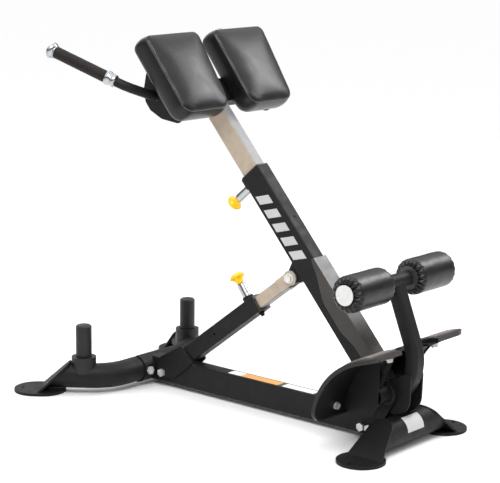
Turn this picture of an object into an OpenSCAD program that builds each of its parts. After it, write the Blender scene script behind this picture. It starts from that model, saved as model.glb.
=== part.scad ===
// Roman chair: floor frame, tilting upright with foot plate and leg rollers,
// telescopic strut, and a height-adjusted carriage with hip pads and handles.
// Origin: floor level, middle of the bounding box. Z is up, the pads lean to -Y, the heel side is +Y.

/* [Floor frame] */
// Distance along the floor between the rear foot line and the front foot line
foot_gap = 1135; // [950:5:1300]
// Sideways distance from the centre line to each front foot
front_foot_x = 316.4; // [280:0.1:360]
// Sideways distance from the centre line to each rear foot
rear_foot_x = 198.2; // [170:0.1:240]
// Radius of the foot plates
foot_r = 68.25; // [50:0.25:80]
// Extra length of each front foot plate along its tube
foot_stretch = 22; // [0:1:40]
// Thickness of the foot plates
foot_t = 8; // [5:0.5:12]
// Diameter of the floor bolt holes
foot_hole_d = 12; // [8:0.5:16]
// Distance from a foot centre out to its floor bolt hole
foot_hole_out = 52.8; // [40:0.1:60]
// Angle between the swept front arms and the sideways direction
sweep = 52.7; // [35:0.1:65]
// Distance from the front foot line back to the straight middle of the front tube
front_set_back = 172.5; // [120:0.5:220]
// Bend radius of the front tube
front_bend_r = 130; // [90:1:160]
// Diameter of the front stabiliser tube
front_tube_d = 76.2; // [60:0.1:90]
// Diameter of the rear stabiliser tube
rear_tube_d = 84; // [60:0.1:100]
// Slope of the end plates above the floor
end_slope = 47; // [40:0.5:60]
// Thickness of the sloped end plates
end_plate_t = 6; // [4:0.5:10]
// Width of the square and rectangular frame tubes
beam_w = 50.8; // [45:0.1:60]
// Depth of the base beam and of the upright tube
beam_h = 76.2; // [60:0.1:90]
// Gap between the base beam and the floor
beam_lift = 12; // [8:0.5:20]
// Wall of the frame tubes
tube_wall = 3; // [2:0.1:4]

/* [Weight storage posts] */
// Diameter of each post
horn_d = 48.2; // [40:0.1:52]
// Height of the post tops above the floor
horn_top = 211.6; // [180:0.1:260]
// Height of the rubber collar tops above the floor
collar_top = 111.4; // [100:0.1:130]
// Diameter of the rubber collars
collar_d = 75; // [60:0.5:80]
// Distance along each front arm from its bend corner to the post
horn_along = 81.7; // [75:0.1:110]

/* [Tilt pivot] */
// Distance of the pivot in front of the rear foot line
pivot_front = 38; // [20:0.5:60]
// Height of the pivot above the floor
pivot_z = 150; // [140:0.5:180]
// Half length of the hub tube
hub_half = 89; // [70:0.5:110]
// Radial running clearance in the bearings
run_fit = 0.05; // [0.02:0.01:0.1]

/* [Upright] */
// Lean of the upright away from vertical
lean = 41.07; // [35:0.01:60]
// Length of the upright tube
upright_len = 760; // [650:1:850]
// Distance of the pivot behind the centre line of the upright
pivot_offset = 21; // [10:0.5:30]
// Distance of the strut pivot below the upright top
strut_pivot_down = 320.8; // [280:0.1:360]
// Distance of the strut pivot in front of the upright face
strut_pivot_out = 35.2; // [30:0.1:45]

/* [Strut] */
// Distance of the lower strut pivot in front of the rear foot line
strut_low_front = 891; // [850:1:930]
// Height of the lower strut pivot
strut_low_z = 43; // [35:0.5:55]
// Start of the outer strut tube, measured from its lower pivot
strut_tube_start = 131; // [120:1:150]
// End of the outer strut tube, measured from its lower pivot
strut_tube_end = 463; // [430:1:480]
// Size of the square inner strut tube
strut_inner_w = 38.1; // [34:0.1:40]

/* [Carriage] */
// Width of the sliding carriage tube
carriage_w = 38.1; // [34:0.1:40]
// Depth of the sliding carriage tube
carriage_h = 63.5; // [58:0.1:66]
// Spacing of the height holes
hole_pitch = 25; // [20:1:40]
// Height of the carriage top above the upright top, along the upright
carriage_rise = 235; // [200:1:260]

/* [Hip pads] */
// Incline of the pads away from vertical
pad_lean = 35.5; // [30:0.1:60]
// Length of the pads along the incline
pad_len = 254; // [220:0.1:300]
// Height of the lower pad edge above the floor
pad_low_z = 898; // [850:1:950]
// Distance of the lower pad edge in front of the rear foot line
pad_low_front = 607; // [570:1:640]
// Inner edge of the pads at the bottom
pad_in_low = 48.2; // [40:0.1:60]
// Inner edge of the pads at the top
pad_in_high = 32.2; // [28:0.1:50]
// Outer edge of the pads at the bottom
pad_out_low = 239.6; // [220:0.1:250]
// Outer edge of the pads at the top
pad_out_high = 258.6; // [240:0.1:270]
// Depth of the pad behind its seam, down to the backing board
pad_depth = 48; // [40:1:60]
// Crown of the pad in front of its seam
pad_crown = 13; // [8:1:20]
// Thickness of the backing boards
board_t = 12; // [9:1:18]

/* [Handles] */
// Diameter of the handle tubes
handle_d = 28; // [25:0.5:32]
// Diameter of the hand grips
grip_d = 35; // [32:0.5:40]
// Length of the hand grips
grip_len = 172; // [140:1:190]
// Bend radius of the handle tubes
handle_bend_r = 60; // [50:1:65]

/* [Foot plate] */
// Outer radius of the curved foot plate
foot_plate_r = 218; // [200:1:230]
// Half width of the foot plate
foot_plate_half = 240; // [220:1:260]
// Thickness of the foot plate skin
foot_skin_t = 8; // [5:0.5:10]
// Depth of the rim round the foot plate
foot_rim_h = 12; // [10:0.5:20]
// Angle of the heel edge round the curve
heel_angle = 97; // [94:0.5:100]
// Angle of the toe edge round the curve
toe_angle = 178.7; // [170:0.1:179]

/* [Leg rollers] */
// Height of the roller axis
roller_z = 462.6; // [430:0.1:500]
// Distance of the roller axis in front of the rear foot line
roller_front = 42.4; // [20:0.1:60]
// Radius of the rollers
roller_r = 51.5; // [45:0.5:60]
// Inner end of each roller
roller_in = 58; // [54:0.5:65]
// Outer end of each roller
roller_out = 231; // [200:1:240]

/* [Hidden] */
$fn = 96;

// Colours
black_paint = [0.09, 0.09, 0.095];
dark_plastic = [0.16, 0.15, 0.15];
guard_grey = [0.34, 0.33, 0.32];
champagne = [0.78, 0.70, 0.60];
chrome_grey = [0.75, 0.76, 0.78];
zinc_grey = [0.68, 0.68, 0.66];
knob_yellow = [1.0, 0.76, 0.0];
vinyl_black = [0.05, 0.05, 0.055];
label_white = [0.92, 0.92, 0.9];

// Lengths along Y: the rear foot line sits behind the origin by half the remaining length
rear_y = (foot_gap + foot_stretch / 2 * sin(sweep)) / 2;
front_y = rear_y - foot_gap;
front_tube_y = front_y + front_set_back;
front_r = front_tube_d / 2;
front_z = beam_lift + front_r;
rear_r = rear_tube_d / 2;
rear_z = foot_t + 1 + rear_r;
arm_len = front_set_back / sin(sweep);
corner_x = front_foot_x - arm_len * cos(sweep);
bend_run = front_bend_r * tan(sweep / 2);
end_bottom_half = 58;
end_top_r = 38.5;
end_rise = 123;
end_start = end_plate_t / sin(end_slope);
rear_end_x = rear_foot_x - 14.7;
beam_top = beam_lift + beam_h;
cut = 1;
far = 400;
bend_step = 0.05;
bend_lap = 1;

saddle_half = 72;
saddle_t = 4;
saddle_bolt_x = 56;
bolt_across = 22;
bolt_head_h = 8;
label_t = 0.4;
label_bar = 28;

pivot = [rear_y - pivot_front, pivot_z];
hub_r = 25.4;
hub_wall = 4;
lug_in = 31.4;
lug_t = 8;
lug_r = 36;
bush_r = 29;
bush_flange_t = 1.6;
bush_flange_r = 32;
bracket_front = rear_y - 150;
bracket_rear = rear_y - 66;
bracket_low = 20;
bracket_high = 82;
bracket_bolt = [rear_y - 118, 37];
bracket_bolt_2 = [rear_y - 90, 37];
bolt_r = 6;

strut_low = [rear_y - strut_low_front, strut_low_z];
strut_lug_in = 25.7;
strut_lug_t = 6;
strut_tube_w = 2 * strut_lug_in;
strut_bolt_r = 6;
strut_bolt_half = 40;

// Upright axes: u_up runs up the tube, u_back points out of its rear face
u_up = [-sin(lean), cos(lean)];
u_back = [cos(lean), sin(lean)];
upright_top = pivot - pivot_offset * u_back + upright_len * u_up;
upright_half_h = beam_h / 2;
strut_high = upright_top - (upright_half_h + strut_pivot_out) * u_back - strut_pivot_down * u_up;
strut_run = strut_high - strut_low;
strut_len = norm(strut_run);
strut_angle = atan2(strut_run[0], strut_run[1]);
strut_inner_start = 303;
strut_inner_end = strut_len - 30.5;
strut_inner_wall = 2.6;
ear_t = 5;
ear_r = 22;
ear_start = 568;
ear_hole_r = 9.5;
ear_in = strut_inner_w / 2;
liner_gap = 0.2;
strut_liner_len = 100;
strut_flange_t = 3;
strut_pin_along = 425.7;
screw_along = 446;
side_hole_along = 263;

boss_r = 17;
boss_h = 12;
housing_r = 13;
pin_r = 5;
knob_gap = 1.2;
knob_r = 23.5;
strut_housing_out = 81.5;
height_housing_out = 102;
height_pin_down = 27;
height_pin_tip = 25;
pin_hole_r = 5.4;

upper_bolt_r = 6.3;
upper_bolt_half = 36;
washer_r = 15;
washer_t = 2.5;
washer_in = ear_in + ear_t + 0.35;
block_half = 18.5;
block_nose_r = 18;

sleeve_len = 120;
collar_len = 33;
collar_proud = 5;
sleeve_flange_t = 3;
tube_corner = 5;
inner_corner = 4;
guard_half = 29;
guard_t = 4.5;

post_centre = [rear_y - 100, 246];
post_bend_r = 131;
post_start = -55;
post_end = 21.7;
post_depth = 40;
post_corner = 14;
post_wall = 3;
roller_axis = [rear_y - roller_front, roller_z];
axle_r = 10;
axle_half = 228;
axle_sleeve_r = 21;
axle_sleeve_half = 54;
roller_hub_r = 16;
roller_flange_r = 33;
roller_flange_t = 3;
roller_cap_r = 28;
roller_cap_t = 4;

foot_centre = [rear_y + 73, 83];
foot_in_r = foot_plate_r - foot_skin_t;
foot_rim_in = foot_plate_r - foot_rim_h;
rim_w = 6;
heel_corner_r = 50;
toe_corner_r = 40;
heel_recess_half = 88;
heel_recess_angle = 112;
heel_recess_r = 30;
toe_notch_half = 45;
toe_notch_angle = 130;
toe_notch_r = 20;
tread_in = 92;
tread_out = 210;
tread_t = 4;
tread_low = 168;
tread_high = 101;
gusset_in = hub_half;
gusset_t = 6;
petal_r = 50;
petal = [rear_y - 73, 137];
stay_in = 62;
stay_out = 82;
stay_t = 6;
toe_bolt = [140, 170];
heel_bolt = [108, 105.5];
tab_out = 122;
tab_half_angle = 3.6;
foot_bolt_r = 5;
foot_washer_r = 11;
foot_nut_d = 19;
foot_nut_h = 8;

pad_seam = [rear_y - pad_low_front, pad_low_z];
pad_back = pad_depth + board_t;
pad_corner = 32;
board_inset = 6;
bar_low = 49;
bar_high = 126;
bar_depth = 40;
gusset_x = 194;
handle_gusset_t = 6;
handle_a = [gusset_x, rear_y - 766, 925];
handle_b = [290.7, rear_y - 796.7, 961.6];
handle_tip = [363.8, rear_y - 1012, 1051];
grip_start = 62;
grip_collar_start = 29;
grip_collar_r = 20;
handle_cap_r = 24;
handle_cap_len = 22;
handle_wall = 2.5;

carriage_low = 260;

// Direction [cos, sin]
function dir(a) = [cos(a), sin(a)];
function unit(v) = v / norm(v);
function azim(v) = atan2(v[1], v[0]);
function elev(v) = atan2(v[2], norm([v[0], v[1]]));

// Points of one rounded corner b between neighbours a and c
function corner(a, b, c, r, n = 6) =
  let (u = unit(a - b), v = unit(c - b), half = acos(u * v) / 2)
  let (mid = b + unit(u + v) * r / sin(half), run = r / tan(half))
  let (s = b + u * run - mid, e = b + v * run - mid)
  let (a0 = atan2(s[1], s[0]), turn = (atan2(e[1], e[0]) - a0 + 540) % 360 - 180)
  [for (i = [0:n]) mid + r * dir(a0 + turn * i / n)];

// Outline with every corner rounded by its own radius
function rounded(p, r) =
  let (n = len(p))
  [for (i = [0:n - 1]) each corner(p[(i + n - 1) % n], p[i], p[(i + 1) % n], r[i])];

// Bar outline round two circles
module link2d(p, rp, q, rq) {
  d = q - p;
  side = acos((rp - rq) / norm(d));
  base = atan2(d[1], d[0]);
  translate(p) circle(r = rp);
  translate(q) circle(r = rq);
  polygon([
    p + rp * dir(base + side),
    q + rq * dir(base + side),
    q + rq * dir(base - side),
    p + rp * dir(base - side)
  ]);
}

module rounded_rect(w, h, r) {
  square([w - 2 * r, h], center = true);
  square([w, h - 2 * r], center = true);
  for (x = [-1, 1], y = [-1, 1])
    translate([x * (w / 2 - r), y * (h / 2 - r)]) circle(r = r);
}

module both_sides() {
  children();
  mirror([1, 0, 0]) children();
}

// Outline drawn in Y and Z, thickness along X from x0 to x1
module side_slab(x0, x1)
  translate([x0, 0, 0]) rotate([90, 0, 90]) linear_extrude(x1 - x0) children();

// Cylinder along X through p = [y, z]
module cross_bar(p, r, x0, x1)
  translate([x0, p[0], p[1]]) rotate([0, 90, 0]) cylinder(r = r, h = x1 - x0);

module cross_tube(p, r, wall, half) difference() {
  cross_bar(p, r, -half, half);
  cross_bar(p, r - wall, -half - cut, half + cut);
}

module in_upright()
  translate([0, upright_top[0], upright_top[1]]) rotate([lean, 0, 0]) children();

module in_strut()
  translate([0, strut_low[0], strut_low[1]]) rotate([-strut_angle, 0, 0]) children();

module in_pad()
  translate([0, pad_seam[0], pad_seam[1]]) rotate([pad_lean, 0, 0]) children();

// Z runs along the vector d from point p
module along(p, d) translate(p) rotate([0, 90 - elev(d), azim(d)]) children();

// Bent section that reaches a little way into the straight sections at both ends
module bend(r, turn) {
  lap = bend_lap / r * 180 / PI;
  rotate([0, 0, -lap]) rotate_extrude(angle = turn + 2 * lap) translate([r, 0]) children();
}

// Hexagon along X
module cross_hex(p, across, x0, x1)
  translate([x0, p[0], p[1]]) rotate([0, 90, 0]) cylinder(d = across / cos(30), h = x1 - x0, $fn = 6);

// ---- Floor frame ----
module in_front_arm()
  translate([corner_x, front_tube_y, 0]) rotate([0, 0, -sweep]) children();

module swept_bar(r) {
  half = corner_x - bend_run;
  cross_bar([front_tube_y, front_z], r, -half, half);
  both_sides() {
    translate([half, front_tube_y - front_bend_r, front_z]) rotate([0, 0, 90 - sweep])
      bend(front_bend_r, sweep) circle(r = r - bend_step);
    in_front_arm() cross_bar([0, front_z], r, bend_run, arm_len);
  }
}

// Space outboard of a sloped end plate that starts at x on the foot surface
module slope_space(x)
  translate([x, 0, foot_t]) rotate([0, 90 - end_slope, 0]) translate([-far / 2, -far / 2, 0]) cube([far, far, far]);

module end_plate(x) difference() {
  translate([x, 0, foot_t]) rotate([0, 90 - end_slope, 0]) linear_extrude(end_plate_t)
    rotate(180) end_outline();
  translate([x - far / 2, -far / 2, foot_t - far]) cube([far, far, far]);
}

module end_outline() {
  top = [end_rise - end_top_r, 0];
  q = [0, end_bottom_half];
  turn = azim(q - top) - acos(end_top_r / norm(q - top));
  t = top + end_top_r * dir(turn);
  translate(top) circle(r = end_top_r);
  polygon([[-end_plate_t - 2, q[1]], t, [t[0], -t[1]], [-end_plate_t - 2, -q[1]]]);
}

module foot_plate(stretch, hole_at) difference() {
  linear_extrude(foot_t) {
    for (s = [-1, 1]) translate([s * stretch / 2, 0]) circle(r = foot_r);
    square([max(stretch, cut), 2 * foot_r], center = true);
  }
  translate([hole_at, 0, -cut]) cylinder(d = foot_hole_d, h = foot_t + 2 * cut);
}

module rear_stabilizer() color(black_paint) difference() {
  cross_bar([rear_y, rear_z], rear_r, -rear_foot_x, rear_foot_x);
  cross_bar([rear_y, rear_z], rear_r - tube_wall, -rear_foot_x - cut, rear_foot_x + cut);
  both_sides() translate([0, rear_y, 0]) slope_space(rear_end_x - end_start);
}

module front_stabilizer() color(black_paint) difference() {
  swept_bar(front_r);
  swept_bar(front_r - tube_wall);
  both_sides() in_front_arm() slope_space(arm_len - end_start);
}

module rear_end_plates() color(black_paint)
  both_sides() translate([0, rear_y, 0]) end_plate(rear_end_x - end_start);

module front_end_plates() color(black_paint)
  both_sides() in_front_arm() end_plate(arm_len - end_start);

module rear_foot_plates() color(black_paint)
  both_sides() translate([rear_foot_x, rear_y, 0]) foot_plate(0, foot_hole_out);

module front_foot_plates() color(black_paint)
  both_sides() in_front_arm() translate([arm_len, 0, 0]) foot_plate(foot_stretch, foot_hole_out);

module base_beam() color(black_paint) difference() {
  beam_front = front_tube_y + 10;
  translate([0, rear_y - 10, beam_lift + beam_h / 2]) rotate([90, 0, 0]) linear_extrude(rear_y - 10 - beam_front) difference() {
    rounded_rect(beam_w, beam_h, tube_corner);
    rounded_rect(beam_w - 2 * tube_wall, beam_h - 2 * tube_wall, tube_corner - tube_wall);
  }
  cross_bar([front_tube_y, front_z], front_r + saddle_t, -beam_w, beam_w);
  cross_bar([rear_y, rear_z], rear_r, -beam_w, beam_w);
  cross_bar(strut_low, strut_bolt_r, -beam_w, beam_w);
  for (p = [bracket_bolt, bracket_bolt_2]) cross_bar(p, bolt_r, -beam_w, beam_w);
}

module front_saddle() color(black_paint) difference() {
  cross_bar([front_tube_y, front_z], front_r + saddle_t, -saddle_half, saddle_half);
  cross_bar([front_tube_y, front_z], front_r, -saddle_half - cut, saddle_half + cut);
  translate([-far / 2, front_tube_y - far, -cut]) cube([far, far, far]);
  both_sides() translate([saddle_bolt_x, front_tube_y, front_z]) rotate([-90, 0, 0]) cylinder(r = bolt_r, h = beam_h);
}

module saddle_bolts() color(zinc_grey) both_sides() translate([saddle_bolt_x, front_tube_y, front_z]) {
  rotate([-90, 0, 0]) translate([0, 0, front_r]) cylinder(r = bolt_r, h = saddle_t);
  rotate([-90, 0, 0]) translate([0, 0, front_r + saddle_t]) cylinder(d = bolt_across / cos(30), h = bolt_head_h, $fn = 6);
}

module pivot_bracket() color(black_paint) both_sides() {
  outline = [
    [bracket_front, bracket_low], [bracket_rear, bracket_low], [bracket_rear, bracket_low + 10],
    pivot + lug_r * dir(-30), pivot + lug_r * dir(137), [bracket_front, bracket_high]
  ];
  difference() {
    union() {
      side_slab(lug_in, lug_in + lug_t) {
        polygon(outline);
        translate(pivot) circle(r = lug_r);
      }
      side_slab(beam_w / 2, lug_in) polygon([
        [bracket_front, bracket_low], [bracket_rear, bracket_low],
        [bracket_rear, bracket_high], [bracket_front, bracket_high]
      ]);
    }
    cross_bar(pivot, bush_r, 0, far);
    for (p = [bracket_bolt, bracket_bolt_2]) cross_bar(p, bolt_r, 0, far);
  }
}

module pivot_bushes() color(dark_plastic) both_sides() difference() {
  union() {
    cross_bar(pivot, bush_r, lug_in, lug_in + lug_t);
    cross_bar(pivot, bush_flange_r, lug_in + lug_t, lug_in + lug_t + bush_flange_t);
  }
  cross_bar(pivot, hub_r + run_fit, 0, far);
}

module bracket_bolts() color(zinc_grey) for (p = [bracket_bolt, bracket_bolt_2]) {
  cross_bar(p, bolt_r, -lug_in - lug_t, lug_in + lug_t);
  both_sides() cross_hex(p, bolt_across, lug_in + lug_t, lug_in + lug_t + bolt_head_h);
}

module weight_posts() color(dark_plastic) both_sides() difference() {
  in_front_arm() translate([horn_along, 0, front_z]) cylinder(d = horn_d, h = horn_top - 14 - front_z);
  swept_bar(front_r);
}

module post_caps() color(dark_plastic) both_sides() in_front_arm() translate([horn_along, 0, horn_top - 14]) {
  cylinder(d = horn_d, h = 8);
  translate([0, 0, 8]) cylinder(d1 = horn_d, d2 = horn_d - 8, h = 4);
  translate([0, 0, 12]) cylinder(d1 = horn_d - 8, d2 = horn_d - 22, h = 2);
}

module post_collars() color(dark_plastic) both_sides() difference() {
  in_front_arm() translate([horn_along, 0, 0]) difference() {
    translate([0, 0, front_z + 12]) cylinder(d = collar_d, h = collar_top - front_z - 12);
    translate([0, 0, front_z]) cylinder(d = horn_d, h = far);
  }
  swept_bar(front_r);
}

module strut_lower_bolt() color(zinc_grey) {
  cross_bar(strut_low, strut_bolt_r, -strut_bolt_half + bolt_head_h, strut_bolt_half - bolt_head_h);
  both_sides() cross_hex(strut_low, bolt_across, strut_bolt_half - bolt_head_h, strut_bolt_half);
}

module beam_label() color([0.93, 0.52, 0.2])
  translate([-16, rear_y - 635, beam_top]) cube([32, 325, label_t]);

module stabilizer_label() color(label_white) difference() {
  cross_bar([rear_y, rear_z], rear_r + label_t, -38, 38);
  cross_bar([rear_y, rear_z], rear_r, -far, far);
  side_slab(-far, far) polygon([
    [rear_y, rear_z], [rear_y, rear_z] + far * dir(68), [rear_y - far, rear_z + far],
    [rear_y - far, rear_z - far], [rear_y + far, rear_z - far], [rear_y, rear_z] + far * dir(2)
  ]);
}

// ---- Strut ----
module strut_tube() color(black_paint) in_strut() difference() {
  union() {
    translate([0, 0, strut_tube_start]) linear_extrude(strut_tube_end - strut_tube_start) difference() {
      rounded_rect(strut_tube_w, strut_tube_w, tube_corner);
      rounded_rect(strut_tube_w - 2 * tube_wall, strut_tube_w - 2 * tube_wall, tube_corner - tube_wall);
    }
    translate([0, 0, strut_pin_along]) rotate([90, 0, 0]) translate([0, 0, strut_tube_w / 2 - cut]) difference() {
      cylinder(r = boss_r, h = boss_h + cut);
      translate([0, 0, cut]) cylinder(r = housing_r, h = boss_h + cut);
    }
  }
  translate([0, 0, strut_pin_along]) rotate([90, 0, 0]) cylinder(r = pin_hole_r, h = far);
  translate([0, 0, screw_along]) rotate([-90, 0, 0]) cylinder(r = 4, h = far);
  translate([0, 0, side_hole_along]) rotate([0, 90, 0]) cylinder(r = 4, h = far);
}

module strut_lugs() color(black_paint) both_sides() difference() {
  side_slab(strut_lug_in, strut_lug_in + strut_lug_t) polygon([for (p = rounded([
    [-906, 88], [-812, 143], [-762, 101], [-798, 68], [-836, 38], [-876, 26], [-906, 26], [-912, 40]
  ], [26, 8, 8, 6, 10, 10, 8, 6])) p + [rear_y, 0]]);
  cross_bar(strut_low, strut_bolt_r + run_fit, 0, far);
}

module strut_sleeve() color(dark_plastic) in_strut() difference() {
  union() {
    translate([0, 0, strut_tube_end - strut_liner_len]) linear_extrude(strut_liner_len)
      rounded_rect(strut_tube_w - 2 * tube_wall, strut_tube_w - 2 * tube_wall, tube_corner - tube_wall);
    translate([0, 0, strut_tube_end]) linear_extrude(strut_flange_t)
      rounded_rect(strut_tube_w, strut_tube_w, tube_corner);
  }
  translate([0, 0, strut_tube_end - strut_liner_len - cut]) linear_extrude(strut_liner_len + strut_flange_t + 2 * cut)
    rounded_rect(strut_inner_w + 2 * liner_gap, strut_inner_w + 2 * liner_gap, inner_corner + liner_gap);
  translate([0, 0, strut_pin_along]) rotate([90, 0, 0]) cylinder(r = pin_hole_r, h = far);
  translate([0, 0, screw_along]) rotate([-90, 0, 0]) cylinder(r = 4, h = far);
}

// Housing of a pull pin, drawn along +Z from the tube face at z = face up to z = out
module pin_housing(face, out) difference() {
  union() {
    translate([0, 0, face]) cylinder(r = housing_r, h = out - face - 3);
    translate([0, 0, out - 3]) cylinder(r1 = housing_r, r2 = housing_r - 2, h = 3);
  }
  translate([0, 0, face - cut]) cylinder(r = pin_r + run_fit, h = out - face + 2 * cut);
}

// Flared pull knob standing on z = out
module knob(out) translate([0, 0, out + knob_gap]) difference() {
  rotate_extrude() polygon([
    [0, 0], [11, 0], [11.5, 8], [15, 14], [22.5, 18], [knob_r, 21], [knob_r, 24],
    [22, 28], [17, 31.5], [9, 33.5], [0, 34]
  ]);
  translate([0, 0, -cut]) cylinder(r = pin_r, h = 20 + cut);
}

module at_pin_height() translate([0, 0, -height_pin_down]) rotate([90, 0, 0]) children();
module at_strut_pin() in_strut() translate([0, 0, strut_pin_along]) rotate([90, 0, 0]) children();
module at_height_pin() in_upright() at_pin_height() children();

module strut_pin_housing() color(chrome_grey) at_strut_pin() pin_housing(strut_tube_w / 2, strut_housing_out);

module strut_pin() color(chrome_grey) at_strut_pin() translate([0, 0, strut_inner_w / 2 + 0.3])
  cylinder(r = pin_r, h = strut_housing_out + knob_gap + 20 - strut_inner_w / 2 - 0.3);

module strut_knob() color(knob_yellow) at_strut_pin() knob(strut_housing_out);

module strut_set_screw() color(black_paint) in_strut() translate([0, 0, screw_along]) rotate([-90, 0, 0]) {
  translate([0, 0, strut_inner_w / 2 + 2 * liner_gap]) cylinder(r = 4, h = strut_tube_w / 2 - strut_inner_w / 2 - 2 * liner_gap);
  translate([0, 0, strut_tube_w / 2]) cylinder(r = 9, h = 5);
  translate([0, 0, strut_tube_w / 2 + 5]) cylinder(r = 6, h = 7);
}

module strut_inner_tube() color(champagne) in_strut() difference() {
  translate([0, 0, strut_inner_start]) linear_extrude(strut_inner_end - strut_inner_start) difference() {
    rounded_rect(strut_inner_w, strut_inner_w, inner_corner);
    rounded_rect(strut_inner_w - 2 * strut_inner_wall, strut_inner_w - 2 * strut_inner_wall, inner_corner - strut_inner_wall);
  }
  for (i = [0:5]) translate([0, 0, strut_pin_along + (i - 1) * hole_pitch]) rotate([90, 0, 0]) cylinder(r = pin_hole_r, h = far);
}

module strut_ears() color(champagne) both_sides() in_strut() difference() {
  side_slab(ear_in, ear_in + ear_t) {
    translate([0, strut_len]) circle(r = ear_r);
    translate([-strut_inner_w / 2, ear_start]) square([strut_inner_w, strut_len - ear_start]);
  }
  translate([0, 0, strut_len]) rotate([0, 90, 0]) cylinder(r = ear_hole_r, h = far);
}

// ---- Upright ----
module upright_tube() color(black_paint) difference() {
  in_upright() difference() {
    union() {
      translate([0, 0, -upright_len]) linear_extrude(upright_len) difference() {
        rounded_rect(beam_w, beam_h, tube_corner);
        rounded_rect(beam_w - 2 * tube_wall, beam_h - 2 * tube_wall, tube_corner - tube_wall);
      }
      difference() {
        translate([0, 0, -collar_len]) linear_extrude(collar_len) translate([0, -upright_half_h])
          rounded_rect(beam_w - tube_corner, 2 * collar_proud, collar_proud / 2);
        translate([-far / 2, -upright_half_h + tube_wall - cut, -far]) cube([far, far, 2 * far]);
        at_pin_height() cylinder(r = housing_r, h = far);
      }
    }
    translate([0, 0, -height_pin_down]) rotate([90, 0, 0]) cylinder(r = pin_hole_r, h = far);
    translate([0, 0, -183]) rotate([-90, 0, 0]) cylinder(r = 3.5, h = far);
  }
  cross_bar(pivot, hub_r, -far, far);
}

module upright_sleeve() color(dark_plastic) in_upright() difference() {
  union() {
    translate([0, 0, -sleeve_len]) linear_extrude(sleeve_len)
      rounded_rect(beam_w - 2 * tube_wall, beam_h - 2 * tube_wall, tube_corner - tube_wall);
    linear_extrude(sleeve_flange_t) rounded_rect(beam_w, beam_h, tube_corner);
  }
  translate([0, 0, -sleeve_len - cut]) linear_extrude(sleeve_len + sleeve_flange_t + 2 * cut)
    rounded_rect(carriage_w + 2 * liner_gap, carriage_h + 2 * liner_gap, inner_corner + liner_gap);
  translate([0, 0, -height_pin_down]) rotate([90, 0, 0]) cylinder(r = pin_hole_r, h = far);
}

module upright_guard() color(guard_grey) in_upright() difference() {
  rear = upright_half_h + guard_t;
  side_slab(-guard_half, guard_half) polygon(rounded([
    [rear, -650], [rear, -323], [rear - 11, -323], [rear - 24, -370], [rear - 53, -440],
    [rear - 54, -540], [rear - 38, -600], [rear - 38, -650]
  ], [1, 3, 6, 60, 60, 60, 60, 1]));
  translate([-beam_w / 2, -upright_half_h, -upright_len]) cube([beam_w, beam_h, upright_len]);
}

module strut_bracket() color(black_paint) in_upright() difference() {
  nose = [-upright_half_h - strut_pivot_out, -strut_pivot_down];
  side_slab(-block_half, block_half) {
    translate(nose) circle(r = block_nose_r);
    polygon([
      nose + block_nose_r * dir(90), [-upright_half_h, nose[1] + 34],
      [-upright_half_h, nose[1] - 34], nose + block_nose_r * dir(-90)
    ]);
  }
  translate([-far, nose[0], nose[1]]) rotate([0, 90, 0]) cylinder(r = upper_bolt_r, h = 2 * far);
}

module strut_upper_bolt() color(zinc_grey) {
  cross_bar(strut_high, upper_bolt_r, -washer_in, washer_in);
  both_sides() {
    cross_bar(strut_high, washer_r, washer_in, washer_in + washer_t);
    cross_hex(strut_high, bolt_across, washer_in + washer_t, upper_bolt_half);
  }
}

module hub_tube() color(black_paint) cross_tube(pivot, hub_r, hub_wall, hub_half);

module hub_cheeks() color(black_paint) both_sides() difference() {
  side_slab(beam_w / 2, beam_w / 2 + 5) link2d([rear_y - 12, 143], 50, [rear_y + 28, 205], 12);
  cross_bar(pivot, hub_r, 0, far);
}

module foot_gussets() color(black_paint) both_sides() side_slab(gusset_in, gusset_in + gusset_t) intersection() {
  union() {
    translate(petal) circle(r = petal_r);
    polygon([for (p = [[-73, 87], [-110, 89], [-150, 106], [-200, 200], [-100, 280], [-23, 280], [-23, 137]]) p + [rear_y, 0]]);
  }
  translate(foot_centre) circle(r = foot_in_r);
}

// Slab of the foot plate between two radii, with its outline pulled in by inset
module foot_blank(r_out, r_in, inset) {
  step = inset / foot_plate_r * 180 / PI;
  half = foot_plate_half - inset;
  toe = toe_angle - step;
  heel = heel_angle + step;
  heel_y = foot_centre[0] + foot_plate_r * cos(heel_angle);
  toe_z = foot_centre[1] + foot_plate_r * sin(toe_angle);
  recess = foot_centre + foot_plate_r * dir(heel_recess_angle);
  notch = foot_centre + foot_plate_r * dir(toe_notch_angle);
  difference() {
    cross_bar(foot_centre, r_out, -half, half);
    cross_bar(foot_centre, r_in, -half - cut, half + cut);
    side_slab(-half - cut, half + cut) polygon([
      foot_centre, foot_centre + 2 * far * dir(toe), foot_centre + far * [-1, -2],
      foot_centre + far * [2, -2], foot_centre + far * [2, 2], foot_centre + 2 * far * dir(heel)
    ]);
    both_sides() {
      difference() {
        translate([half - heel_corner_r + inset, heel_y - heel_corner_r, pivot_z]) cube([far, far, far]);
        translate([foot_plate_half - heel_corner_r, heel_y - heel_corner_r, 0])
          cylinder(r = heel_corner_r - inset, h = far);
      }
      difference() {
        translate([half - toe_corner_r + inset, rear_y - far, toe_z + toe_corner_r - far]) cube([far, far, far]);
        translate([foot_plate_half - toe_corner_r, rear_y, toe_z + toe_corner_r]) rotate([90, 0, 0])
          cylinder(r = toe_corner_r - inset, h = far);
      }
    }
    translate([0, recess[0] - inset, 0]) linear_extrude(far) translate([0, far / 2])
      rounded_rect(2 * (heel_recess_half + inset), far, heel_recess_r);
    translate([0, rear_y - pivot_front, notch[1] + inset]) rotate([90, 0, 0]) linear_extrude(far)
      translate([0, -far / 2]) rounded_rect(2 * (toe_notch_half + inset), far, toe_notch_r);
  }
}

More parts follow.
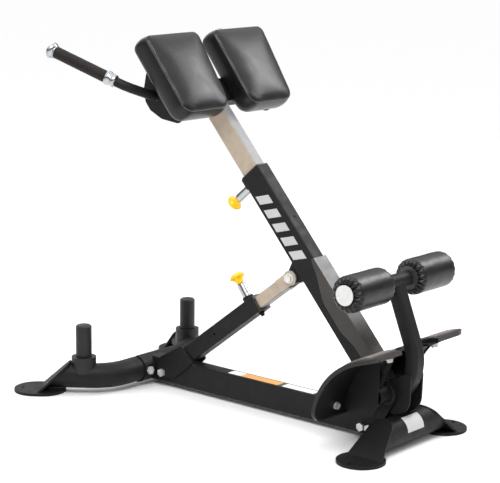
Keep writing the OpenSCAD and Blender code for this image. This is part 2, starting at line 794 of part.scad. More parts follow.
module foot_bolt_space(at, r, depth_in, depth_out) both_sides()
  translate([at[0], foot_centre[0], foot_centre[1]]) rotate([at[1] - 90, 0, 0])
    translate([0, 0, depth_in]) cylinder(r = r, h = depth_out - depth_in);

module footplate() color(dark_plastic) difference() {
  foot_blank(foot_plate_r, foot_rim_in, 0);
  foot_blank(foot_in_r, foot_rim_in - rim_w, rim_w);
  for (b = [toe_bolt, heel_bolt]) foot_bolt_space(b, foot_bolt_r, foot_in_r - cut, foot_plate_r + cut);
}

module tread_pads() color(guard_grey) both_sides() difference() {
  cross_bar(foot_centre, foot_plate_r + tread_t, tread_in, tread_out);
  cross_bar(foot_centre, foot_plate_r, tread_in - cut, tread_out + cut);
  side_slab(tread_in - cut, tread_out + cut) polygon([
    foot_centre, foot_centre + 2 * far * dir(tread_low), foot_centre + far * [-1, -2],
    foot_centre + far * [2, -2], foot_centre + far * [2, 2], foot_centre + 2 * far * dir(tread_high)
  ]);
}

module footplate_bolts() color(zinc_grey) for (b = [toe_bolt, heel_bolt]) {
  seat = b == heel_bolt ? foot_rim_in - stay_t : foot_in_r;
  foot_bolt_space(b, foot_bolt_r, seat - foot_nut_h, foot_plate_r);
  foot_bolt_space(b, foot_washer_r, seat - 3, seat - 1);
  both_sides() translate([b[0], foot_centre[0], foot_centre[1]]) rotate([b[1] - 90, 0, 0])
    translate([0, 0, seat - foot_nut_h - 3]) cylinder(d = foot_nut_d, h = foot_nut_h, $fn = 6);
}

// Curved strip under the foot plate that the heel bolt passes through, from x0 out to the end of the tab
module stay_tab(x0, r0, r1) side_slab(x0, tab_out) intersection() {
  difference() {
    translate(foot_centre) circle(r = r1);
    translate(foot_centre) circle(r = r0);
  }
  polygon([
    foot_centre, foot_centre + far * dir(heel_bolt[1] - tab_half_angle),
    foot_centre + far * dir(heel_bolt[1] + tab_half_angle)
  ]);
}

module heel_stays() color(black_paint) both_sides() difference() {
  a = heel_bolt[1];
  union() {
    side_slab(stay_in, stay_out) intersection() {
      polygon([
        pivot + [-stay_t, 10], pivot + [0, 10], foot_centre + foot_plate_r * dir(a - 0.8),
        foot_centre + foot_plate_r * dir(a + 0.8)
      ]);
      translate(foot_centre) circle(r = foot_rim_in);
    }
    stay_tab(stay_in, foot_rim_in - stay_t, foot_rim_in);
    stay_tab(heel_recess_half + rim_w, foot_rim_in - stay_t, foot_in_r);
  }
  cross_bar(pivot, hub_r, 0, far);
  foot_bolt_space(heel_bolt, foot_bolt_r, foot_rim_in - 2 * stay_t, foot_plate_r);
}

module post_path(depth, width, r) {
  top = post_centre + post_bend_r * dir(post_end);
  translate([0, post_centre[0], post_centre[1]]) rotate([90, 0, 90]) rotate([0, 0, post_start])
    bend(post_bend_r, post_end - post_start) rounded_rect(depth - 2 * bend_step, width - 2 * bend_step, r);
  translate([0, top[0], top[1]]) rotate([post_end, 0, 0]) linear_extrude(norm(roller_axis - top))
    rounded_rect(width, depth, r);
}

module roller_post() color(black_paint) difference() {
  post_path(post_depth, beam_w, post_corner);
  post_path(post_depth - 2 * post_wall, beam_w - 2 * post_wall, post_corner - post_wall);
  cross_bar(pivot, hub_r, -far, far);
  cross_bar(roller_axis, axle_sleeve_r, -far, far);
}

module roller_axle() color(black_paint) {
  cross_bar(roller_axis, axle_sleeve_r, -axle_sleeve_half, axle_sleeve_half);
  cross_bar(roller_axis, axle_r, -axle_half, axle_half);
}

module height_pin_housing() color(chrome_grey) at_height_pin() pin_housing(upright_half_h, height_housing_out);

module height_pin() color(chrome_grey) at_height_pin() translate([0, 0, height_pin_tip])
  cylinder(r = pin_r, h = height_housing_out + knob_gap + 20 - height_pin_tip);

module height_knob() color(knob_yellow) at_height_pin() knob(height_housing_out);

module upright_label() color(label_white) in_upright() for (i = [0:4])
  side_slab(beam_w / 2, beam_w / 2 + label_t) translate([0, -66 - i * 48])
    polygon([[-26, -2], [18, -24], [18, -24 - label_bar], [-26, -2 - label_bar]]);

// ---- Carriage ----
module carriage_tube() color(champagne) difference() {
  in_upright() difference() {
    translate([0, 0, -carriage_low]) linear_extrude(carriage_low + carriage_rise) difference() {
      rounded_rect(carriage_w, carriage_h, inner_corner);
      rounded_rect(carriage_w - 2 * strut_inner_wall, carriage_h - 2 * strut_inner_wall, inner_corner - strut_inner_wall);
    }
    for (i = [-2:6]) translate([0, 0, -height_pin_down + i * hole_pitch]) rotate([90, 0, 0]) cylinder(r = pin_hole_r, h = far);
  }
  in_pad() translate([-carriage_w, -pad_back - bar_depth, bar_low]) cube([2 * carriage_w, far, far]);
}

module pad_crossbar() color(black_paint) in_pad() translate([-gusset_x, -pad_back - bar_depth / 2, (bar_low + bar_high) / 2])
  rotate([0, 90, 0]) linear_extrude(2 * gusset_x) difference() {
    rounded_rect(bar_high - bar_low, bar_depth, tube_corner);
    rounded_rect(bar_high - bar_low - 2 * tube_wall, bar_depth - 2 * tube_wall, tube_corner - tube_wall);
  }

module handle_gussets() color(black_paint) both_sides() difference() {
  in_pad() side_slab(gusset_x, gusset_x + handle_gusset_t) polygon(rounded([
    [-pad_back, 6], [-pad_back, 205], [-pad_back - 44, 186], [-pad_back - 82, 150], [-pad_back - 92, 121],
    [-pad_back - 90, 92], [-pad_back - 66, 49], [-pad_back - 18, 6]
  ], [4, 6, 30, 24, 20, 20, 40, 12]));
  along(handle_a, handle_b - handle_a) cylinder(d = handle_d, h = far, center = true);
}

function pad_outline(inset) = [
  [pad_in_low + inset, inset], [pad_out_low - inset, inset],
  [pad_out_high - inset, pad_len - inset], [pad_in_high + inset, pad_len - inset]
];

module pad_layer(y0, y1, inset, r) in_pad() translate([0, y1, 0]) rotate([90, 0, 0])
  linear_extrude(y1 - y0) polygon(rounded(pad_outline(inset), [r, r, r / 2, r / 2]));

module pad_boards() color(dark_plastic) both_sides() pad_layer(-pad_back, -pad_depth, board_inset, pad_corner - board_inset);

module hip_pad() {
  pad_layer(-pad_depth, 2, 0, pad_corner);
  pad_layer(2, pad_crown * 0.7, 7, pad_corner - 4);
  pad_layer(pad_crown * 0.7, pad_crown, 20, pad_corner);
}

module hip_pad_left() color(vinyl_black) hip_pad();

module hip_pad_right() color(vinyl_black) mirror([1, 0, 0]) hip_pad();

// Round bar from a through a bend at b towards c, len_c long past the corner
module bent_bar(a, b, c, bend_r, r, len_c) {
  e1 = unit(b - a);
  d2 = unit(c - b);
  e2 = [-sin(azim(e1)), cos(azim(e1)), 0];
  turn = acos(e1 * d2);
  run = bend_r * tan(turn / 2);
  translate(a) rotate([0, -elev(e1), azim(e1)]) rotate([atan2(d2 * cross(e1, e2), d2 * e2), 0, 0]) {
    rotate([0, 90, 0]) cylinder(r = r, h = norm(b - a) - run);
    translate([norm(b - a) - run, bend_r, 0]) {
      rotate([0, 0, -90]) bend(bend_r, turn) circle(r = r - bend_step);
      rotate([0, 0, turn]) translate([0, -bend_r, 0]) rotate([0, 90, 0]) cylinder(r = r, h = len_c - run);
    }
  }
}

module handle_tubes() color(black_paint) both_sides() difference() {
  bent_bar(handle_a, handle_b, handle_tip, handle_bend_r, handle_d / 2, grip_start + grip_len);
  bent_bar(handle_a - 2 * cut * unit(handle_b - handle_a), handle_b, handle_tip, handle_bend_r, handle_d / 2 - handle_wall, far);
}

module on_grip(at) both_sides() along(handle_b + at * unit(handle_tip - handle_b), handle_tip - handle_b) children();

module grip_ring(at, r, h) on_grip(at) difference() {
  cylinder(r = r, h = h);
  translate([0, 0, -cut]) cylinder(d = handle_d, h = h + 2 * cut);
}

module grip_collars() color(chrome_grey) grip_ring(grip_collar_start, grip_collar_r, grip_start - grip_collar_start);

module handle_grips() color(dark_plastic) grip_ring(grip_start, grip_d / 2, grip_len);

module handle_caps() color(chrome_grey) on_grip(grip_start + grip_len) {
  cylinder(r1 = grip_d / 2, r2 = handle_cap_r, h = 4);
  translate([0, 0, 4]) cylinder(r = handle_cap_r, h = handle_cap_len - 10);
  translate([0, 0, handle_cap_len - 6]) cylinder(r1 = handle_cap_r, r2 = handle_cap_r - 8, h = 6);
}

// ---- Leg rollers ----
module roller_foam() difference() {
  cross_bar(roller_axis, roller_r, roller_in + roller_flange_t, roller_out);
  cross_bar(roller_axis, roller_hub_r, 0, far);
}

module roller_hub() difference() {
  union() {
    cross_bar(roller_axis, roller_hub_r, roller_in, roller_out);
    cross_bar(roller_axis, roller_flange_r, roller_in, roller_in + roller_flange_t);
    cross_bar(roller_axis, roller_cap_r, roller_out, roller_out + roller_cap_t);
  }
  cross_bar(roller_axis, axle_r + run_fit, 0, axle_half + 2 * cut);
}

module roller_left() color(vinyl_black) roller_foam();

module roller_left_hub() color(label_white) roller_hub();

module roller_right() color(vinyl_black) mirror([1, 0, 0]) roller_foam();

module roller_right_hub() color(label_white) mirror([1, 0, 0]) roller_hub();

rear_stabilizer();
front_stabilizer();
rear_end_plates();
front_end_plates();
rear_foot_plates();
front_foot_plates();
base_beam();
front_saddle();
pivot_bracket();
pivot_bushes();
weight_posts();
post_caps();
post_collars();
saddle_bolts();
bracket_bolts();
strut_lower_bolt();
beam_label();
stabilizer_label();
strut_tube();
strut_lugs();
strut_sleeve();
strut_pin_housing();
strut_set_screw();
strut_pin();
strut_knob();
strut_inner_tube();
strut_ears();
upright_tube();
upright_sleeve();
upright_guard();
strut_bracket();
strut_upper_bolt();
hub_tube();
hub_cheeks();
foot_gussets();
heel_stays();
footplate();
tread_pads();
footplate_bolts();
roller_post();
roller_axle();
height_pin_housing();
upright_label();
height_pin();
height_knob();
carriage_tube();
pad_crossbar();
handle_gussets();
pad_boards();
hip_pad_left();
hip_pad_right();
handle_tubes();
handle_grips();
grip_collars();
handle_caps();
roller_left();
roller_left_hub();
roller_right();
roller_right_hub();
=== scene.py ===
"""Roman chair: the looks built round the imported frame. Everything is in metres, in the frame of the CAD."""

import math

import bmesh
import bpy
from mathutils import Matrix, Vector, noise
from mathutils.bvhtree import BVHTree


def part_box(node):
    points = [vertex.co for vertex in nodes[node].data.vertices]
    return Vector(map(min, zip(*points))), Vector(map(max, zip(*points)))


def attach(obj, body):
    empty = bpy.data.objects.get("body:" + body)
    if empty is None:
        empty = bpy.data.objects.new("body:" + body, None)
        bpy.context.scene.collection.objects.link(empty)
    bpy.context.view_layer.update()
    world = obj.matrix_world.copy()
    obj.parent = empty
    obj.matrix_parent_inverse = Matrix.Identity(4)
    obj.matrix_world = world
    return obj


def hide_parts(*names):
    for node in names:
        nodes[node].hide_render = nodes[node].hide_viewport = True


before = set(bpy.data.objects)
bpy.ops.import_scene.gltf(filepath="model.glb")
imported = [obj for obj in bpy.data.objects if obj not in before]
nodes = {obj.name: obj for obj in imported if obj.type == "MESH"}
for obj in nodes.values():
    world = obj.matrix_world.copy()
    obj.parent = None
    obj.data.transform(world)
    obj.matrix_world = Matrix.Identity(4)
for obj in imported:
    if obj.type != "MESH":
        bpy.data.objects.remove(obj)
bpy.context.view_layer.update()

# Directions of the leaning parts, as angles from vertical about X
UPRIGHT_LEAN = math.radians(41.07)
STRUT_LEAN = math.radians(-52.676)
PAD_LEAN = math.radians(35.5)

# Hip pad, in the pad's own axes: X sideways, Y out of the pad, Z up the incline
PAD_IN_LOW, PAD_IN_HIGH = 0.0482, 0.0322
PAD_OUT_LOW, PAD_OUT_HIGH = 0.2396, 0.2586
PAD_LENGTH = 0.254
PAD_DEPTH = 0.048
PAD_BACK = 0.0625
PAD_CORNERS = (0.036, 0.036, 0.019, 0.019)

# The pad's skin: remesh size, most that it may swell, passes that even it out, and the piping's radius
PAD_VOXEL, PAD_SWELL = 0.005, 0.006
RELAX_PASSES = 12
PIPING_R = 0.0010
CLOTH_PRESSURE, CLOTH_FRAMES = 4, 20

ROLLER_R = 0.0515
ROLLER_IN, ROLLER_OUT = 0.0612, 0.2308
ROLLER_END = 0.018
ROLLER_FOLDS = 18
FOLD_DEPTH = 0.0052


# ---- Materials ----
def new_material(name):
    m = bpy.data.materials.new(name)
    m.use_nodes = True
    return m, m.node_tree, m.node_tree.nodes["Principled BSDF"]


def add(nt, kind, **values):
    n = nt.nodes.new(kind)
    for k, v in values.items():
        setattr(n, k, v)
    return n


def coords(nt, output="Object"):
    return add(nt, "ShaderNodeTexCoord").outputs[output]


def noise_tex(nt, scale, detail=3.0, rough=0.55, vector=None):
    n = add(nt, "ShaderNodeTexNoise")
    n.inputs["Scale"].default_value = scale
    n.inputs["Detail"].default_value = detail
    n.inputs["Roughness"].default_value = rough
    nt.links.new(vector or coords(nt), n.inputs["Vector"])
    return n.outputs["Fac"]


def ramp(nt, fac, stops):
    r = add(nt, "ShaderNodeValToRGB")
    e = r.color_ramp.elements
    while len(e) < len(stops):
        e.new(0.5)
    for i, (at, colour) in enumerate(stops):
        e[i].position = at
        e[i].color = (*colour, 1) if len(colour) == 3 else colour
    nt.links.new(fac, r.inputs["Fac"])
    return r.outputs["Color"]


def blotches(nt, fac, low, high):
    """Two close tones that drift into each other with the noise."""
    return ramp(nt, fac, [(0.3, low), (0.7, high)])


def grey(v):
    return (v, v, v)


def scaled(c, k):
    return tuple(min(1.0, x * k) for x in c)


def math_node(nt, op, a, b=None, clamp=False):
    n = add(nt, "ShaderNodeMath", operation=op, use_clamp=clamp)
    for i, v in enumerate((a, b)):
        if v is None:
            continue
        if isinstance(v, (int, float)):
            n.inputs[i].default_value = v
        else:
            nt.links.new(v, n.inputs[i])
    return n.outputs[0]


def mix_colour(nt, fac, a, b):
    n = add(nt, "ShaderNodeMix", data_type="RGBA")
    nt.links.new(fac, n.inputs["Factor"])
    for key, v in (("A", a), ("B", b)):
        socket = [s for s in n.inputs if s.name == key and s.type == "RGBA"][0]
        if isinstance(v, tuple):
            socket.default_value = (*v, 1)
        else:
            nt.links.new(v, socket)
    return [s for s in n.outputs if s.type == "RGBA"][0]


def bump(nt, bsdf, height, strength, distance):
    b = add(nt, "ShaderNodeBump")
    b.inputs["Strength"].default_value = strength
    b.inputs["Distance"].default_value = distance
    nt.links.new(height, b.inputs["Height"])
    nt.links.new(b.outputs["Normal"], bsdf.inputs["Normal"])


def surface(name, colour, rough, vary=0.18, vary_scale=14,
            grain=900, grain_depth=0.0002, grain_strength=0.35, metallic=0.0, specular=0.5,
            coat=0.0, coat_rough=0.2, rough_vary=0.08, sheen=0.0):
    """A finish whose colour and roughness drift over the surface, with a fine grain."""
    m, nt, p = new_material(name)
    drift = noise_tex(nt, vary_scale, 4)
    tone = blotches(nt, drift, scaled(colour, 1 - vary), scaled(colour, 1 + vary))
    nt.links.new(tone, p.inputs["Base Color"])
    spread = noise_tex(nt, vary_scale * 3, 5)
    polish = blotches(nt, spread, grey(rough - rough_vary), grey(rough + rough_vary))
    nt.links.new(polish, p.inputs["Roughness"])
    p.inputs["Metallic"].default_value = metallic
    p.inputs["Specular IOR Level"].default_value = specular
    p.inputs["Coat Weight"].default_value = coat
    p.inputs["Coat Roughness"].default_value = coat_rough
    p.inputs["Sheen Weight"].default_value = sheen
    bump(nt, p, noise_tex(nt, grain, 2), grain_strength, grain_depth)
    return m


def vinyl(name):
    """Black upholstery vinyl: fine pebbled grain, soft sheen, faint creases."""
    m, nt, p = new_material(name)
    drift = noise_tex(nt, 9, 4)
    nt.links.new(blotches(nt, drift, grey(0.0040), grey(0.0070)), p.inputs["Base Color"])
    nt.links.new(blotches(nt, noise_tex(nt, 30, 5), grey(0.30), grey(0.38)), p.inputs["Roughness"])
    cells = add(nt, "ShaderNodeTexVoronoi", feature="F1")
    cells.inputs["Scale"].default_value = 620
    nt.links.new(coords(nt), cells.inputs["Vector"])
    pebble = math_node(nt, "MULTIPLY", cells.outputs["Distance"], 0.35)
    crease = math_node(nt, "MULTIPLY", noise_tex(nt, 26, 5, 0.6), 1.4)
    bump(nt, p, math_node(nt, "ADD", pebble, crease), 0.30, 0.0012)
    p.inputs["Specular IOR Level"].default_value = 0.30
    p.inputs["Coat Weight"].default_value = 0.12
    p.inputs["Coat Roughness"].default_value = 0.35
    return m


def tube_with_painted_reflection(name, side, face):
    """A bright tube: silvery grey where it faces fore and aft, with a warm beige painted reflection on the
    sideways-facing sides.
    """
    m, nt, p = new_material(name)
    split = add(nt, "ShaderNodeSeparateXYZ")
    nt.links.new(coords(nt, "Normal"), split.inputs[0])
    # Normals pointing sideways get the side tone, a painted reflection of warm light
    sideways = math_node(nt, "GREATER_THAN", math_node(nt, "ABSOLUTE", split.outputs["X"]), 0.7)
    wear = noise_tex(nt, 40, 6)
    reflected_side_c = blotches(nt, wear, scaled(side, 0.9), scaled(side, 1.08))
    face_c = blotches(nt, wear, scaled(face, 0.9), scaled(face, 1.05))
    nt.links.new(mix_colour(nt, sideways, face_c, reflected_side_c), p.inputs["Base Color"])
    p.inputs["Metallic"].default_value = 0.15
    p.inputs["Specular IOR Level"].default_value = 0.20
    nt.links.new(blotches(nt, noise_tex(nt, 90, 4), grey(0.34), grey(0.46)), p.inputs["Roughness"])
    bump(nt, p, noise_tex(nt, 500, 2), 0.08, 0.0002)
    return m


BLACK = surface(
    "powder_black", (0.0082, 0.0086, 0.0082), 0.52, vary=0.20, grain=1500, grain_depth=0.00035,
    grain_strength=0.22, specular=0.20,
)
DARK_RUBBER = surface(
    "dark_rubber", (0.012, 0.0105, 0.0105), 0.45, grain=700, grain_strength=0.25,
    specular=0.35,
)
DARK_PLASTIC = surface("dark_plastic", (0.024, 0.022, 0.021), 0.45, grain=800)
CHROME = surface(
    "chrome", (0.46, 0.47, 0.49), 0.14, vary=0.05, rough_vary=0.04, metallic=1.0, grain=300,
    grain_strength=0.03,
)
ZINC = surface(
    "zinc", (0.72, 0.72, 0.70), 0.32, vary=0.12, vary_scale=60, metallic=0.6, grain=900,
    grain_strength=0.15,
)
YELLOW = surface(
    "knob_yellow", (1.0, 0.55, 0.0), 0.30, vary=0.05, rough_vary=0.05, grain=400,
    grain_strength=0.05,
)
BOARD = surface("board", (0.035, 0.030, 0.027), 0.75, vary=0.3, grain=250, grain_strength=0.5)
WHITE = surface("label_white", (0.50, 0.50, 0.50), 0.5, vary=0.04, grain=300, grain_strength=0.05)
VINYL = vinyl("vinyl")
PIPING = surface(
    "piping", (0.060, 0.058, 0.058), 0.35, vary=0.2, vary_scale=60, grain=1800,
    grain_strength=0.4,
)
# The beige first colour is the painted reflection on the sides; the grey second one is for the faces fore and
# aft
INNER_TUBE_PAINTED_REFLECTION = tube_with_painted_reflection("inner_tube", (0.46, 0.38, 0.30), (0.24, 0.24, 0.25))


def grip_material():
    """Hand grip: rows of small moulded diamonds round a dark rubber sleeve."""
    m, nt, p = new_material("grip_rubber")
    drift = noise_tex(nt, 40, 4)
    nt.links.new(blotches(nt, drift, (0.009, 0.0062, 0.0068), (0.015, 0.0105, 0.011)), p.inputs["Base Color"])
    p.inputs["Specular IOR Level"].default_value = 0.25
    p.inputs["Roughness"].default_value = 0.6
    cells = add(nt, "ShaderNodeTexVoronoi", feature="F1")
    cells.inputs["Scale"].default_value = 260
    cells.inputs["Randomness"].default_value = 0.15
    nt.links.new(coords(nt), cells.inputs["Vector"])
    bump(nt, p, cells.outputs["Distance"], 0.7, 0.0014)
    return m


def tread_material():
    """Foot plate tread: crosswise ribs moulded in a lighter rubber."""
    m, nt, p = new_material("tread")
    tone = blotches(nt, noise_tex(nt, 25, 5), (0.15, 0.135, 0.125), (0.23, 0.21, 0.20))
    nt.links.new(tone, p.inputs["Base Color"])
    p.inputs["Roughness"].default_value = 0.5
    waves = add(nt, "ShaderNodeTexWave", wave_type="BANDS", bands_direction="X")
    waves.inputs["Scale"].default_value = 26
    nt.links.new(coords(nt), waves.inputs["Vector"])
    bump(nt, p, waves.outputs["Fac"], 0.6, 0.0015)
    return m


def roller_hub_material():
    """White end cap outboard, grey core and flange inboard, told apart by the distance from the middle."""
    m, nt, p = new_material("roller_hub")
    split = add(nt, "ShaderNodeSeparateXYZ")
    nt.links.new(coords(nt), split.inputs[0])
    sideways = math_node(nt, "ABSOLUTE", split.outputs["X"])
    outboard = math_node(nt, "GREATER_THAN", sideways, ROLLER_OUT + 0.0006)
    wear = noise_tex(nt, 45, 5)
    white = blotches(nt, wear, (0.60, 0.61, 0.60), (0.68, 0.68, 0.67))
    core = blotches(nt, wear, (0.030, 0.027, 0.031), (0.055, 0.050, 0.056))
    nt.links.new(mix_colour(nt, outboard, core, white), p.inputs["Base Color"])
    p.inputs["Roughness"].default_value = 0.3
    bump(nt, p, noise_tex(nt, 500, 2), 0.06, 0.0002)
    return m


def strip_material():
    """The coloured strip on the beam: short white, long orange, a dark gap and a long white bar."""
    m, nt, p = new_material("beam_strip")
    lo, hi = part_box("beam_label")
    split = add(nt, "ShaderNodeSeparateXYZ")
    nt.links.new(coords(nt), split.inputs[0])
    along = math_node(nt, "DIVIDE", math_node(nt, "SUBTRACT", split.outputs["Y"], lo[1]), hi[1] - lo[1])
    bars = ramp(nt, along, [
        (0.00, (0.80, 0.79, 0.76)), (0.13, (0.80, 0.79, 0.76)),
        (0.17, (0.80, 0.33, 0.08)), (0.58, (0.80, 0.36, 0.10)),
        (0.60, (0.05, 0.05, 0.05)), (0.63, (0.05, 0.05, 0.05)),
        (0.65, (0.78, 0.78, 0.77)), (1.00, (0.78, 0.78, 0.77)),
    ])
    nt.links.new(bars, p.inputs["Base Color"])
    p.inputs["Roughness"].default_value = 0.45
    bump(nt, p, noise_tex(nt, 300, 2), 0.05, 0.0002)
    return m


def painted_light_by_facing(name, face, other, direction, at, soft, rough, painted_sheen_rise=None):
    """A moulding whose tone is painted by facing: face where its normal points along direction, and other
    elsewhere, so light and shade are painted into the colour.
    """
    m, nt, p = new_material(name)
    dot = add(nt, "ShaderNodeVectorMath", operation="DOT_PRODUCT")
    nt.links.new(coords(nt, "Normal"), dot.inputs[0])
    dot.inputs[1].default_value = direction
    facing = add(nt, "ShaderNodeMapRange", interpolation_type="SMOOTHSTEP")
    facing.inputs["From Min"].default_value = at - soft
    facing.inputs["From Max"].default_value = at + soft
    nt.links.new(dot.outputs["Value"], facing.inputs["Value"])
    amount = facing.outputs["Result"]
    # The face tone can also be brought in with height, a painted highlight growing towards the top
    if painted_sheen_rise:
        split = add(nt, "ShaderNodeSeparateXYZ")
        nt.links.new(coords(nt), split.inputs[0])
        rise = add(nt, "ShaderNodeMapRange")
        rise.inputs["From Min"].default_value, rise.inputs["From Max"].default_value = painted_sheen_rise
        nt.links.new(split.outputs["Z"], rise.inputs["Value"])
        amount = math_node(nt, "MULTIPLY", amount, rise.outputs["Result"])
    p.inputs["Specular IOR Level"].default_value = 0.35
    drift = noise_tex(nt, 16, 4)
    a = blotches(nt, drift, scaled(other, 0.88), scaled(other, 1.12))
    b = blotches(nt, drift, scaled(face, 0.88), scaled(face, 1.12))
    nt.links.new(mix_colour(nt, amount, a, b), p.inputs["Base Color"])
    polish = blotches(nt, noise_tex(nt, 50, 5), grey(rough - 0.06), grey(rough + 0.06))
    nt.links.new(polish, p.inputs["Roughness"])
    bump(nt, p, noise_tex(nt, 1000, 2), 0.25, 0.0003)
    return m


# Brown-grey where the plate faces up, near black on the underside: painted shade under the plate
FOOT_SKIN_PAINTED_SHADE = painted_light_by_facing(
    "foot_plate", (0.026, 0.0215, 0.0195), (0.003, 0.003, 0.003), (0, 0.1, 1), 0.05, 0.12,
    0.42,
)
# Dark grey plastic with a silvery painted reflection on the rear face, brighter towards the top
GUARD_PAINTED_SHEEN = painted_light_by_facing(
    "guard_painted_sheen", (0.150, 0.154, 0.168), (0.040, 0.035, 0.032), (0, 0.80, 0.60), 0.72, 0.24,
    0.34, painted_sheen_rise=(0.26, 0.66),
)
GRIP = grip_material()
TREAD = tread_material()
ROLLER_HUB = roller_hub_material()
STRIP = strip_material()

FINISH = {n: BLACK for n in nodes}
FINISH.update({n: DARK_RUBBER for n in ("weight_posts", "post_caps", "post_collars")})
FINISH.update({n: DARK_PLASTIC for n in ("pivot_bushes", "strut_sleeve", "upright_sleeve")})
FINISH.update({n: ZINC for n in (
    "saddle_bolts", "bracket_bolts", "strut_lower_bolt", "strut_upper_bolt", "footplate_bolts",
)})
FINISH.update({n: CHROME for n in (
    "strut_pin_housing", "height_pin_housing", "strut_pin", "height_pin", "grip_collars", "handle_caps",
)})
FINISH.update({n: INNER_TUBE_PAINTED_REFLECTION for n in ("strut_inner_tube", "strut_ears", "carriage_tube")})
FINISH.update(
    upright_guard=GUARD_PAINTED_SHEEN, footplate=FOOT_SKIN_PAINTED_SHADE, tread_pads=TREAD, pad_boards=BOARD, handle_grips=GRIP,
    roller_left_hub=ROLLER_HUB, roller_right_hub=ROLLER_HUB, beam_label=STRIP, stabilizer_label=WHITE,
    upright_label=WHITE, strut_knob=YELLOW, height_knob=YELLOW,
)
for name, obj in nodes.items():
    obj.data.materials.clear()
    obj.data.materials.append(FINISH[name])


# ---- Mesh helpers ----
def from_bmesh(name, bm, material, smooth=True):
    mesh = bpy.data.meshes.new(name)
    bm.normal_update()
    bm.to_mesh(mesh)
    bm.free()
    for f in mesh.polygons:
        f.use_smooth = smooth
    mesh.materials.append(material)
    obj = bpy.data.objects.new(name, mesh)
    bpy.context.scene.collection.objects.link(obj)
    return obj


def loft(name, rings, material, place=Matrix.Identity(4), caps=True):
    """A closed skin through rings of the same number of points."""
    bm = bmesh.new()
    verts = [[bm.verts.new(place @ Vector(p)) for p in ring] for ring in rings]
    n = len(rings[0])
    for a, b in zip(verts, verts[1:]):
        for i in range(n):
            bm.faces.new((a[i], a[(i + 1) % n], b[(i + 1) % n], b[i]))
    if caps:
        bm.faces.new(list(reversed(verts[0])))
        bm.faces.new(verts[-1])
    bmesh.ops.recalc_face_normals(bm, faces=bm.faces)
    return from_bmesh(name, bm, material)


def lathe(name, profile, material, place, steps=64):
    """profile: (radius, height) pairs turned about Z."""
    turns = [2 * math.pi * i / steps for i in range(steps)]
    rings = [[(r * math.cos(t), r * math.sin(t), z) for t in turns] for r, z in profile]
    return loft(name, rings, material, place)


def arc(cx, cz, r, start, end, n=6):
    """Points of a rounded edge in a lathe profile, angles in degrees."""
    turn = [math.radians(start + (end - start) * i / n) for i in range(n + 1)]
    return [(cx + r * math.cos(a), cz + r * math.sin(a)) for a in turn]


def box_centre(node):
    lo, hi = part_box(node)
    return (Vector(lo) + Vector(hi)) / 2


# ---- Hip pads ----
def pad_axes():
    """The pad's own axes, with the origin on the seam line at the lower edge."""
    turn = Matrix.Rotation(PAD_LEAN, 4, "X")
    inverse = turn.inverted()
    local = [inverse @ v.co for v in nodes["hip_pad_left"].data.vertices]
    base = Vector((0, min(p.y for p in local) + PAD_DEPTH, min(p.z for p in local)))
    return Matrix.Translation(turn @ base) @ turn


def corner_radius(r, inset):
    """Corners tighten over the seam, then open out again towards the middle of the face."""
    return min(max(r - inset * 0.6, 0.008) + 0.9 * max(0.0, inset - 0.012), 0.9 * (0.090 - inset))


def pad_ring(inset, y, steps=10):
    """A rounded outline of the pad pulled in by inset, at height y above the seam."""
    z0, z1 = inset, PAD_LENGTH - inset
    corners = [
        (PAD_IN_LOW + inset, z0), (PAD_OUT_LOW - inset, z0),
        (PAD_OUT_HIGH - inset, z1), (PAD_IN_HIGH + inset, z1),
    ]
    radii = [corner_radius(r, inset) for r in PAD_CORNERS]
    ring = []
    for i in range(4):
        r = radii[i]
        a, b, c = (Vector(corners[(i + k) % 4]) for k in (-1, 0, 1))
        u, v = (a - b).normalized(), (c - b).normalized()
        half = u.angle(v) / 2
        mid = b + (u + v).normalized() * r / math.sin(half)
        s, e = b + u * r / math.tan(half) - mid, b + v * r / math.tan(half) - mid
        a0, a1 = math.atan2(s.y, s.x), math.atan2(e.y, e.x)
        turn = (a1 - a0 + 3 * math.pi) % (2 * math.pi) - math.pi
        for k in range(steps + 1):
            t = a0 + turn * k / steps
            ring.append((mid.x + r * math.cos(t), y, mid.y + r * math.sin(t)))
        nxt = corners[(i + 1) % 4]
        after = corners[(i + 2) % 4]
        ring += straight(ring[-1], b, Vector(nxt), Vector(after), radii[(i + 1) % 4], y)
    return ring


def straight(last, b, nxt, after, r, y, parts=8):
    """Points along one side, up to where the next corner's curve starts."""
    u, v = (b - nxt).normalized(), (after - nxt).normalized()
    end = nxt + u * r / math.tan(u.angle(v) / 2)
    return [
        (last[0] + (end.x - last[0]) * k / parts, y, last[2] + (end.y - last[2]) * k / parts)
        for k in range(1, parts)
    ]


SEAM_Y = 0.0
PAD_LAYERS = [
    (0.013, -PAD_BACK), (0.0055, -PAD_BACK + 0.0015), (0.001, -PAD_BACK + 0.006), (-0.0025, -0.048),
    (-0.0045, -0.034), (-0.0045, -0.020), (-0.0025, -0.009), (-0.0002, -0.002), (0.0008, 0.0012),
    (0.0035, 0.0048), (0.0100, 0.0085), (0.032, 0.0132), (0.056, 0.0158), (0.080, 0.0168),
]


